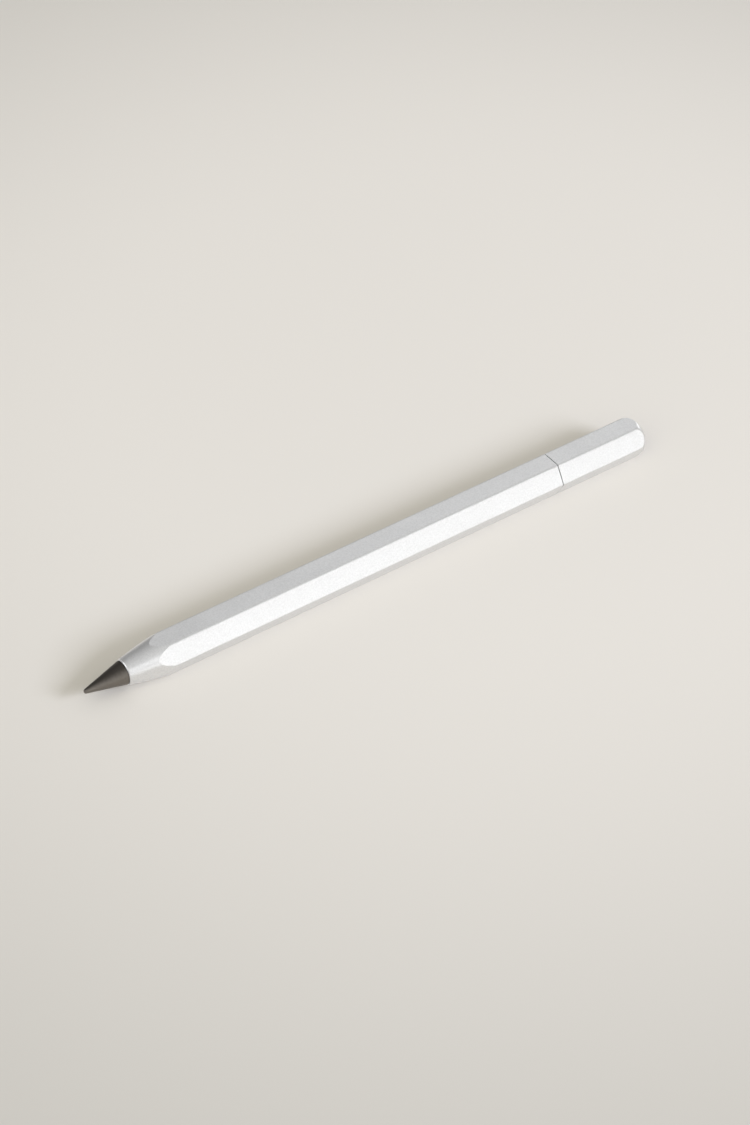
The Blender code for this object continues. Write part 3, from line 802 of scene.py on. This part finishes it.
class PENCIL_OT_barrel(bpy.types.Operator):
    """Hexagonal barrel with its turned nose, bored from both ends"""

    bl_idname = "pencil.barrel"
    bl_label = "Barrel"

    def nose_outline(self, sizes):
        """Corners of the turned outline: a fuller cone that runs out into the hexagon's edges."""
        front, rear = span("barrel")
        rim = outer("graphite_tip") + sizes.rim_width
        trim = CORNER_REACH + TRIM_MARGIN
        corners = [(front, 0), (front, rim - sizes.rim_chamfer)]
        lip = sizes.rim_chamfer / sizes.nose_length
        for step in range(NOSE_STEPS + 1):
            along = lip + (1 - lip) * step / NOSE_STEPS
            fuller = along + sizes.nose_bulge * along * (1 - along)
            corners.append((front + sizes.nose_length * along, rim + (trim - rim) * fuller))
        end = rear + CUT_MARGIN
        return corners + [(end, trim), (end, 0)]

    def tip_hole(self, sizes):
        """Corners of the hole for the stud, with the seal's counterbore."""
        mouth = span("barrel")[0] - CUT_MARGIN
        seal_rear = span("tip_o_ring")[1] + sizes.fit_gap
        seal_bore = outer("tip_o_ring") + sizes.fit_gap
        hole_end = span("tip_stud")[1] + sizes.stud_room
        hole = outer("tip_stud") + sizes.run_gap
        return [
            (mouth, 0),
            (mouth, seal_bore),
            (seal_rear, seal_bore),
            (seal_rear, hole, sizes.edge_break),
            (hole_end, hole),
            (hole_end, 0),
        ]

    def drive_bore(self, sizes):
        """Corners of the stepped bore for the twist drive."""
        front, rear = span("barrel")
        start = front + sizes.nose_length + sizes.bulkhead
        step = span("spiral_sleeve")[0] - sizes.fit_gap
        bore = outer("spiral_sleeve") + sizes.fit_gap
        shoulder = bore - sizes.bore_shoulder
        mouth = rear + CUT_MARGIN
        return [(start, 0), (start, shoulder), (step, shoulder), (step, bore), (mouth, bore), (mouth, 0)]

    def execute(self, context):
        sizes = context.scene.pencil_sizes
        front, rear = span("barrel")
        barrel = hexagonal_bar("hexagon_barrel", front - CUT_MARGIN, rear, APOTHEM, sizes.edge_fillet)
        break_end(barrel, rear, sizes.seam_break)
        combine(barrel, turned("nose_outline", self.nose_outline(sizes), OUTLINE_SEGMENTS), "INTERSECT")
        combine(barrel, turned("tip_hole", self.tip_hole(sizes)), "DIFFERENCE")
        combine(barrel, turned("drive_bore", self.drive_bore(sizes)), "DIFFERENCE")
        fit(barrel, "barrel")
        return {"FINISHED"}


class PENCIL_OT_rear_cap(bpy.types.Operator):
    """Hexagonal cap with a rounded end, a round bore and a hexagonal mouth"""

    bl_idname = "pencil.rear_cap"
    bl_label = "Rear cap"

    def execute(self, context):
        sizes = context.scene.pencil_sizes
        front, rear = span("rear_cap")
        cap = hexagonal_bar("hexagon_cap", front, rear + CUT_MARGIN, APOTHEM, sizes.edge_fillet)
        break_end(cap, front, sizes.seam_break)
        start = front - CUT_MARGIN
        trim = CORNER_REACH + TRIM_MARGIN
        rounding = sizes.cap_rounding
        outline = [(start, 0), (start, trim)]
        outline += arc(rear - rounding, trim - rounding, rounding, math.pi / 2, 0)
        outline.append((rear, 0))
        combine(cap, turned("cap_outline", outline, OUTLINE_SEGMENTS), "INTERSECT")
        bore = outer("cap_o_ring") + sizes.fit_gap
        bore_end = rear - sizes.cap_end_wall
        hole = [(start, 0), (start, bore), (bore_end, bore, sizes.edge_break), (bore_end, 0)]
        combine(cap, turned("cap_bore", hole), "DIFFERENCE")
        key_rear = span("rear_bush")[1] - sizes.neck_length
        mouth_reach = bore + sizes.mouth_step
        mouth = hexagonal_bar(
            "cap_mouth", start, key_rear + sizes.fit_gap, mouth_reach, sizes.edge_break
        )
        combine(cap, mouth, "DIFFERENCE")
        break_end(cap, front, sizes.edge_break, within=(mouth_reach + SHARP_REACH) / 2)
        fit(cap, "rear_cap")
        return {"FINISHED"}


class PENCIL_OT_graphite_tip(bpy.types.Operator):
    """Graphite cone with a rounded point and the shank behind it"""

    bl_idname = "pencil.graphite_tip"
    bl_label = "Graphite point"

    def execute(self, context):
        sizes = context.scene.pencil_sizes
        front, shank_rear = span("graphite_tip")
        base = span("barrel")[0] - sizes.fit_gap
        reach = outer("graphite_tip")
        point = sizes.point_radius
        run = base - front - point
        slope = math.atan2(reach, run) - math.asin(point / math.hypot(reach, run))
        shank = outer("tip_stud") - sizes.shank_wall - sizes.fit_gap
        corners = [(front, 0)] + arc(front + point, 0, point, math.pi, math.pi / 2 + slope)[1:]
        corners += [
            (base, reach, sizes.edge_break),
            (base, shank),
            (shank_rear, shank, sizes.edge_break),
            (shank_rear, 0),
        ]
        graphite_point = turned("graphite_point", corners)
        pick(graphite_point, "VERT", lambda place: place.x - front < NEAR)
        bpy.ops.transform.translate(
            value=sizes.point_shift,
            use_proportional_edit=True,
            proportional_edit_falloff="LINEAR",
            proportional_size=base - front,
        )
        bpy.ops.object.mode_set(mode="OBJECT")
        fit(graphite_point, "graphite_tip")
        return {"FINISHED"}


class PENCIL_OT_tip_stud(bpy.types.Operator):
    """Threaded cup that the graphite shank is bonded into"""

    bl_idname = "pencil.tip_stud"
    bl_label = "Tip stud"

    def thread(self, sizes, core, crest):
        """Helical ridge that runs past both ends of the stud: its tooth is drawn once and screwed."""
        front, rear = span("tip_stud")
        pitch = sizes.thread_pitch
        foot = core - sizes.fit_gap
        start = front - pitch
        tooth = [
            (TOOTH_FOOT, foot),
            (TOOTH_CREST, crest),
            (1 - TOOTH_CREST, crest),
            (1 - TOOTH_FOOT, foot),
        ]
        points = [Vector((start + pitch * along, 0, radius)) for along, radius in tooth]
        ridge = drawn("stud_thread", points + points[:1])
        bpy.ops.object.mode_set(mode="OBJECT")
        bpy.ops.object.modifier_add(type="SCREW")
        screw = ridge.modifiers[-1]
        screw.axis = "X"
        screw.angle = 2 * math.pi
        screw.screw_offset = pitch
        screw.iterations = math.ceil((rear - front) / pitch) + 1
        screw.steps = THREAD_STEPS
        screw.render_steps = THREAD_STEPS
        bpy.ops.object.modifier_apply(modifier=screw.name)
        bpy.ops.object.mode_set(mode="EDIT")
        bpy.ops.mesh.select_all(action="SELECT")
        bpy.ops.transform.translate(value=(0, 0, AXIS))
        bpy.ops.mesh.fill_holes(sides=0)
        weld()
        bpy.ops.object.mode_set(mode="OBJECT")
        return ridge

    def execute(self, context):
        sizes = context.scene.pencil_sizes
        front, rear = span("tip_stud")
        crest = outer("tip_stud")
        core = crest - sizes.thread_depth
        past = 2 * sizes.thread_pitch
        stud = turned("threaded_stud", plain_bar(front - past, rear + past, core), CORE_SEGMENTS)
        combine(stud, self.thread(sizes, core, crest), "UNION")
        relief = front + sizes.thread_pitch
        inside = core - TRIM_MARGIN
        outside = crest + TRIM_MARGIN
        outline = [
            (front, 0),
            (front, inside, sizes.edge_break),
            (relief, inside),
            (relief + sizes.thread_depth, outside),
            (rear - sizes.thread_depth, outside),
            (rear, inside),
            (rear, 0),
        ]
        combine(stud, turned("stud_outline", outline, STUD_SEGMENTS), "INTERSECT")
        hole_end = span("graphite_tip")[1] + sizes.fit_gap
        hole = plain_bar(front - CUT_MARGIN, hole_end, crest - sizes.shank_wall)
        combine(stud, turned("shank_hole", hole), "DIFFERENCE")
        fit(stud, "tip_stud")
        return {"FINISHED"}


class PENCIL_OT_seal_rings(bpy.types.Operator):
    """Rubber rings of the cap and of the graphite point"""

    bl_idname = "pencil.seal_rings"
    bl_label = "Seal rings"

    def execute(self, context):
        for name, node in (("cap_seal_ring", "cap_o_ring"), ("tip_seal_ring", "tip_o_ring")):
            front, rear = span(node)
            section = (rear - front) / 2
            clear_selection()
            bpy.ops.mesh.primitive_circle_add(
                vertices=SECTION_SEGMENTS,
                radius=section,
                location=((front + rear) / 2, 0, AXIS + outer(node) - section),
                rotation=(math.pi / 2, 0, 0),
            )
            ring = bpy.context.object
            ring.name = name
            bpy.ops.object.transform_apply()
            bpy.ops.object.mode_set(mode="EDIT")
            spun(TURNED_SEGMENTS)
            fit(ring, node)
        return {"FINISHED"}


class PENCIL_OT_rear_bush(bpy.types.Operator):
    """Brass bush with the cap's hexagonal key and its grooved neck"""

    bl_idname = "pencil.rear_bush"
    bl_label = "Rear bush"

    def execute(self, context):
        sizes = context.scene.pencil_sizes
        front, rear = span("rear_bush")
        body = outer("spiral_sleeve") - TRIM_MARGIN
        neck = outer("thrust_washer")
        key_rear = rear - sizes.neck_length
        key_front = key_rear - sizes.key_length
        seal_front, seal_rear = span("cap_o_ring")
        groove = outer("cap_o_ring") - (seal_rear - seal_front) - sizes.fit_gap
        groove_front = seal_front - sizes.fit_gap
        groove_rear = seal_rear + sizes.fit_gap
        key_middle = (key_front + key_rear) / 2
        corners = [
            (front, 0),
            (front, body, sizes.edge_break),
            (key_middle, body),
            (key_middle, neck),
            (groove_front, neck, sizes.edge_break),
            (groove_front, groove),
            (groove_rear, groove),
            (groove_rear, neck, sizes.edge_break),
            (rear, neck, sizes.edge_break),
            (rear, 0),
        ]
        bush = turned("keyed_bush", corners)
        flat = outer("rear_bush")
        key = hexagonal_bar("bush_key", key_front, key_rear, flat, sizes.edge_break)
        mouth = flat - sizes.edge_break
        wide = flat + 2 * sizes.key_chamfer
        lead_in = [
            (front, 0),
            (front, wide),
            (key_rear + mouth - wide, wide),
            (key_rear + CUT_MARGIN, mouth - CUT_MARGIN),
            (key_rear + CUT_MARGIN, 0),
        ]
        combine(key, turned("key_outline", lead_in), "INTERSECT")
        combine(bush, key, "UNION")
        bore = outer("guide_tube") + sizes.run_gap
        hole = plain_bar(front - CUT_MARGIN, rear + CUT_MARGIN, bore)
        combine(bush, turned("bush_bore", hole), "DIFFERENCE")
        fit(bush, "rear_bush")
        return {"FINISHED"}


class PENCIL_OT_lead_nose(bpy.types.Operator):
    """Cone with a fluted grip that feeds the lead when it is turned"""

    bl_idname = "pencil.lead_nose"
    bl_label = "Lead nose"

    def flutes(self, sizes, front, rear, reach):
        """Round cutters of the grip's flutes: one is placed and the rest are copied round the axis."""
        run = rear - front + 2 * CUT_MARGIN
        clear_selection()
        bpy.ops.mesh.primitive_cylinder_add(
            vertices=SECTION_SEGMENTS,
            radius=sizes.flute_radius,
            depth=run,
            location=((front + rear) / 2, 0, AXIS + reach + sizes.flute_radius - sizes.flute_depth),
            rotation=(0, math.pi / 2, 0),
        )
        cutters = bpy.context.object
        bpy.ops.object.transform_apply()
        bpy.ops.object.mode_set(mode="EDIT")
        spun(sizes.flute_count, copies=True)
        return cutters

    def execute(self, context):
        sizes = context.scene.pencil_sizes
        front, rear = span("lead_nose")
        reach = outer("lead_nose")
        grip_rear = front + sizes.grip_length
        socket = outer("guide_tube") + sizes.fit_gap
        socket_end = span("guide_tube")[1] + sizes.fit_gap
        passage = outer("lead") + sizes.fit_gap
        sleeve_hole = outer("lead_sleeve") + sizes.fit_gap
        cone_end = sleeve_hole + sizes.cone_end_wall
        sleeve_front = span("lead_sleeve")[0] - sizes.fit_gap
        corners = [
            (front, socket),
            (front, reach, sizes.edge_break),
            (grip_rear, reach, sizes.edge_break),
            (rear, cone_end, sizes.edge_break),
            (rear, sleeve_hole),
            (sleeve_front, sleeve_hole),
            (sleeve_front, passage),
            (socket_end, passage),
            (socket_end, socket),
        ]
        nose = turned("fluted_lead_nose", corners)
        combine(nose, self.flutes(sizes, front, grip_rear, reach), "DIFFERENCE")
        fit(nose, "lead_nose")
        return {"FINISHED"}


class PENCIL_OT_lead(bpy.types.Operator):
    """Lead with its worn end, and the sleeve that it runs out of"""

    bl_idname = "pencil.lead"
    bl_label = "Lead and sleeve"

    def execute(self, context):
        sizes = context.scene.pencil_sizes
        front, rear = span("lead")
        reach = outer("lead")
        sleeve = plain_ring("lead_sleeve", reach + sizes.fit_gap, sizes.edge_break)
        fit(turned("feed_sleeve", sleeve), "lead_sleeve")
        corners = [(front, 0), (front, reach, sizes.edge_break), (rear, reach), (rear, 0)]
        lead = turned("writing_lead", corners)
        activate(lead)
        bpy.ops.object.mode_set(mode="EDIT")
        bpy.ops.mesh.select_all(action="SELECT")
        slant = sizes.lead_wear
        bpy.ops.mesh.bisect(
            plane_co=(rear, 0, AXIS - reach),
            plane_no=(math.cos(slant), 0, math.sin(slant)),
            use_fill=True,
            clear_outer=True,
        )
        bpy.ops.object.mode_set(mode="OBJECT")
        fit(lead, "lead")
        return {"FINISHED"}


class PENCIL_OT_thrust_washer(bpy.types.Operator):
    """Nylon washer between the bush and the lead nose"""

    bl_idname = "pencil.thrust_washer"
    bl_label = "Thrust washer"

    def execute(self, context):
        sizes = context.scene.pencil_sizes
        bore = outer("guide_tube") + sizes.run_gap
        washer = plain_ring("thrust_washer", bore, sizes.edge_break)
        fit(turned("glide_washer", washer), "thrust_washer")
        return {"FINISHED"}


class PENCIL_OT_twist_drive(bpy.types.Operator):
    """Finishes of the drive pieces inside the barrel, whose shapes come from the frame"""

    bl_idname = "pencil.twist_drive"
    bl_label = "Twist drive"

    def execute(self, context):
        for node, piece in frame["nodes"].items():
            if not piece.hide_render:
                dress(piece, node)
        return {"FINISHED"}


class PENCIL_OT_stage(bpy.types.Operator):
    """Pale floor, soft studio light and the camera"""

    bl_idname = "pencil.stage"
    bl_label = "Stage"

    def stand(self, azimuth, elevation, distance, target):
        """Place and turn of a camera or lamp that looks at a target."""
        back = Vector(
            (
                math.sin(azimuth) * math.cos(elevation),
                -math.cos(azimuth) * math.cos(elevation),
                math.sin(elevation),
            )
        )
        return Vector(target) + distance * back, (-back).to_track_quat("-Z", "Y").to_euler()

    def add_softbox(self, stage, colours, name, azimuth, elevation, distance, width, height, uses):
        """Rectangular softbox that faces the middle of the pencil."""
        place, turn = self.stand(math.radians(azimuth), math.radians(elevation), distance, (0, 0, 0))
        bpy.ops.object.light_add(type="AREA", location=place, rotation=turn)
        lamp = bpy.context.object
        lamp.name = f"{name}_softbox"
        lamp.data.shape = "RECTANGLE"
        lamp.data.size = width
        lamp.data.size_y = height
        lamp.data.energy = getattr(stage, f"{name}_power")
        lamp.data.color = getattr(colours, f"{name}_light", colours.fill_light)
        for use in BOTH:
            setattr(lamp, use, use in uses)

    def add_floor(self, stage, colours):
        """Plain floor, dead matt as uncoated paper, with a painted pool of light: a little paler round the
        pencil than further off.
        """
        clear_selection()
        bpy.ops.mesh.primitive_plane_add(size=stage.floor_size, location=(0, 0, -FLOOR_GAP))
        floor = bpy.context.object
        floor.name = "floor"
        bpy.ops.object.transform_apply()
        material, tree, place = new_material("matt_pale_floor")
        away = add(
            tree,
            "ShaderNodeVectorMath",
            settings={"operation": "DISTANCE"},
            values={1: PAINTED_POOL_MIDDLE},
            links={0: place},
        )
        fade = add(
            tree,
            "ShaderNodeMapRange",
            settings={"interpolation_type": "SMOOTHSTEP"},
            values={"From Min": PAINTED_POOL_START, "From Max": PAINTED_POOL_STOP},
            links={"Value": away.outputs["Value"]},
        )
        # Painted pool of light: the floor's colour pales towards the pool's middle
        tint = add(
            tree,
            "ShaderNodeMix",
            settings={"data_type": "RGBA"},
            values={MIX_FIRST: opaque(colours.floor), MIX_SECOND: opaque(colours.floor_past_painted_pool)},
            links={"Factor": fade.outputs["Result"]},
        )
        close_material(
            tree,
            {"Specular IOR Level": 0.0, "Roughness": 0.9},
            {"Base Color": tint.outputs[MIX_RESULT]},
        )
        floor.data.materials.append(material)

    def add_studio(self, colours):
        """Walls and ceiling of the studio as soft light, paler towards the front."""
        world = bpy.data.worlds.new("soft_studio")
        bpy.context.scene.world = world
        world.use_nodes = True
        tree = world.node_tree
        tree.nodes.clear()
        way = add(tree, "ShaderNodeTexCoord").outputs["Generated"]
        frontal = add(
            tree,
            "ShaderNodeVectorMath",
            settings={"operation": "DOT_PRODUCT"},
            values={1: STUDIO_FRONT},
            links={0: way},
        )
        pale = add(
            tree,
            "ShaderNodeMapRange",
            values={"From Min": STUDIO_START, "From Max": STUDIO_STOP},
            links={"Value": frontal.outputs["Value"]},
        )
        tint = add(
            tree,
            "ShaderNodeMix",
            settings={"data_type": "RGBA"},
            values={MIX_FIRST: opaque(colours.studio), MIX_SECOND: opaque(colours.studio_front)},
            links={"Factor": pale.outputs["Result"]},
        )
        walls = add(tree, "ShaderNodeBackground", links={"Color": tint.outputs[MIX_RESULT]})
        add(tree, "ShaderNodeOutputWorld", links={"Surface": walls.outputs["Background"]})

    def execute(self, context):
        scene = context.scene
        stage = scene.pencil_stage
        colours = scene.pencil_colours
        self.add_floor(stage, colours)
        self.add_studio(colours)
        clear_selection()
        for softbox in SOFTBOXES:
            self.add_softbox(stage, colours, *softbox)
        place, turn = self.stand(
            stage.camera_azimuth, stage.camera_elevation, stage.camera_distance, stage.camera_target
        )
        bpy.ops.object.camera_add(location=place, rotation=turn)
        camera = context.object
        camera.data.lens = stage.camera_lens
        scene.camera = camera
        scene.view_settings.view_transform = "Standard"
        return {"FINISHED"}


class PENCIL_PT_sidebar(bpy.types.Panel):
    """Pieces, sizes, colours and stage of the pencil"""

    bl_idname = "PENCIL_PT_sidebar"
    bl_label = "Pencil"
    bl_space_type = "VIEW_3D"
    bl_region_type = "UI"
    bl_category = "Pencil"

    def draw(self, context):
        column = self.layout.column()
        for operator in OPERATORS:
            column.operator(operator.bl_idname)
        for group in (context.scene.pencil_sizes, context.scene.pencil_colours, context.scene.pencil_stage):
            for name in group.bl_rna.properties.keys():
                if name not in ("rna_type", "name"):
                    column.prop(group, name)


GROUPS = (PencilSizes, PencilColours, PencilStage)
OPERATORS = (
    PENCIL_OT_barrel,
    PENCIL_OT_rear_cap,
    PENCIL_OT_graphite_tip,
    PENCIL_OT_tip_stud,
    PENCIL_OT_seal_rings,
    PENCIL_OT_rear_bush,
    PENCIL_OT_lead_nose,
    PENCIL_OT_lead,
    PENCIL_OT_thrust_washer,
    PENCIL_OT_twist_drive,
    PENCIL_OT_stage,
)
CLASSES = (*GROUPS, *OPERATORS, PENCIL_PT_sidebar)


def register():
    """Adds the classes and the scene's settings."""
    for kind in CLASSES:
        bpy.utils.register_class(kind)
    bpy.types.Scene.pencil_sizes = bpy.props.PointerProperty(type=PencilSizes)
    bpy.types.Scene.pencil_colours = bpy.props.PointerProperty(type=PencilColours)
    bpy.types.Scene.pencil_stage = bpy.props.PointerProperty(type=PencilStage)


def unregister():
    """Takes the scene's settings and the classes away."""
    del bpy.types.Scene.pencil_stage
    del bpy.types.Scene.pencil_colours
    del bpy.types.Scene.pencil_sizes
    for kind in reversed(CLASSES):
        bpy.utils.unregister_class(kind)


def main():
    """Builds every piece and the stage."""
    register()
    bpy.ops.pencil.barrel()
    bpy.ops.pencil.rear_cap()
    bpy.ops.pencil.graphite_tip()
    bpy.ops.pencil.tip_stud()
    bpy.ops.pencil.seal_rings()
    bpy.ops.pencil.rear_bush()
    bpy.ops.pencil.lead_nose()
    bpy.ops.pencil.lead()
    bpy.ops.pencil.thrust_washer()
    bpy.ops.pencil.twist_drive()
    bpy.ops.pencil.stage()


if __name__ == "__main__":
    main()
